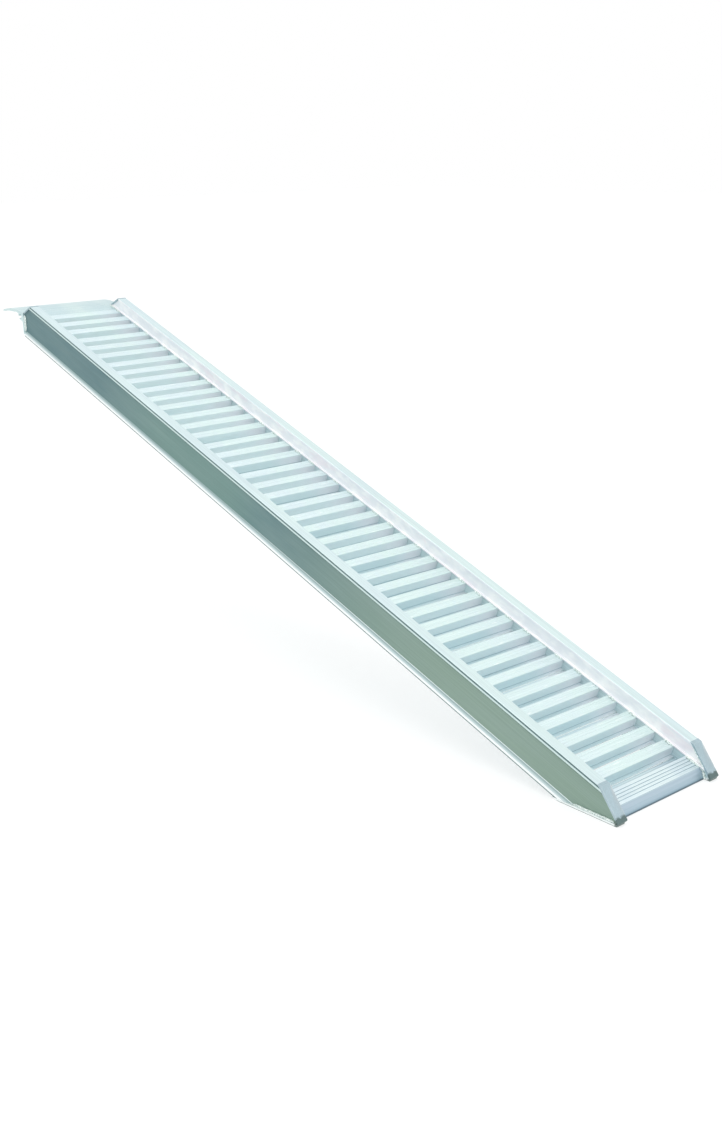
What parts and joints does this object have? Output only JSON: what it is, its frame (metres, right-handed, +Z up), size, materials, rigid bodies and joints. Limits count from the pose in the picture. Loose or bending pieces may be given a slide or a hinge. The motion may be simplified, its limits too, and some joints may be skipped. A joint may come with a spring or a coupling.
{
  "type": "loading ramp",
  "caption": "Rigid aluminium loading ramp with kerbed side beams, slotted ribbed tread planks, a hooked lip and a hanging safety leg.",
  "frame": {"origin": "middle of the lip's level seat, the face that lies on the vehicle bed, with the ramp at its working angle", "axes": "+X level, from the vehicle bed out to the ramp's toe; +Y across the ramp; +Z up"},
  "size_m": [2.9248, 0.395, 1.0024],
  "materials": {
    "kerb": "mill finish, faint draw lines along the extrusion",
    "tread": "mill finish, bright on the rung tops",
    "cap_plate": "sawn and brushed plate",
    "sole_plate": "scuffed plate",
    "toe_plate": "mill finish",
    "lip": "mill finish with fine cross lines",
    "leg": "mill finish"
  },
  "bodies": {
    "root": {"kerb_beam_left": "kerb", "kerb_beam_right": "kerb", "tread_plank_01": "tread", "tread_plank_02": "tread", "tread_plank_03": "tread", "tread_plank_04": "tread", "tread_plank_05": "tread", "tread_plank_06": "tread", "tread_plank_07": "tread", "tread_plank_08": "tread", "tread_plank_09": "tread", "tread_plank_10": "tread", "tread_plank_11": "tread", "tread_plank_12": "tread", "tread_plank_13": "tread", "tread_plank_14": "tread", "upper_cap_left": "cap_plate", "upper_cap_right": "cap_plate", "toe_cap_left": "cap_plate", "toe_cap_right": "cap_plate", "sole_strip_left": "sole_plate", "sole_strip_right": "sole_plate", "toe_plate": "toe_plate", "lip_extrusion": "lip"},
    "leg_bead": {"leg_bead": "leg"},
    "leg_plate": {"leg_plate": "leg"}
  },
  "joints": [
    {"name": "leg_slide", "type": "slide", "parent": "root", "child": "leg_bead", "axis": [0, 1, 0], "range_m": [-0.147, 0.147]},
    {"name": "leg_swing", "type": "hinge", "parent": "leg_bead", "child": "leg_plate", "pos_m": [0.06966, 0, -0.0127], "axis": [0, 1, 0], "range_deg": [0, 18]}
  ]
}
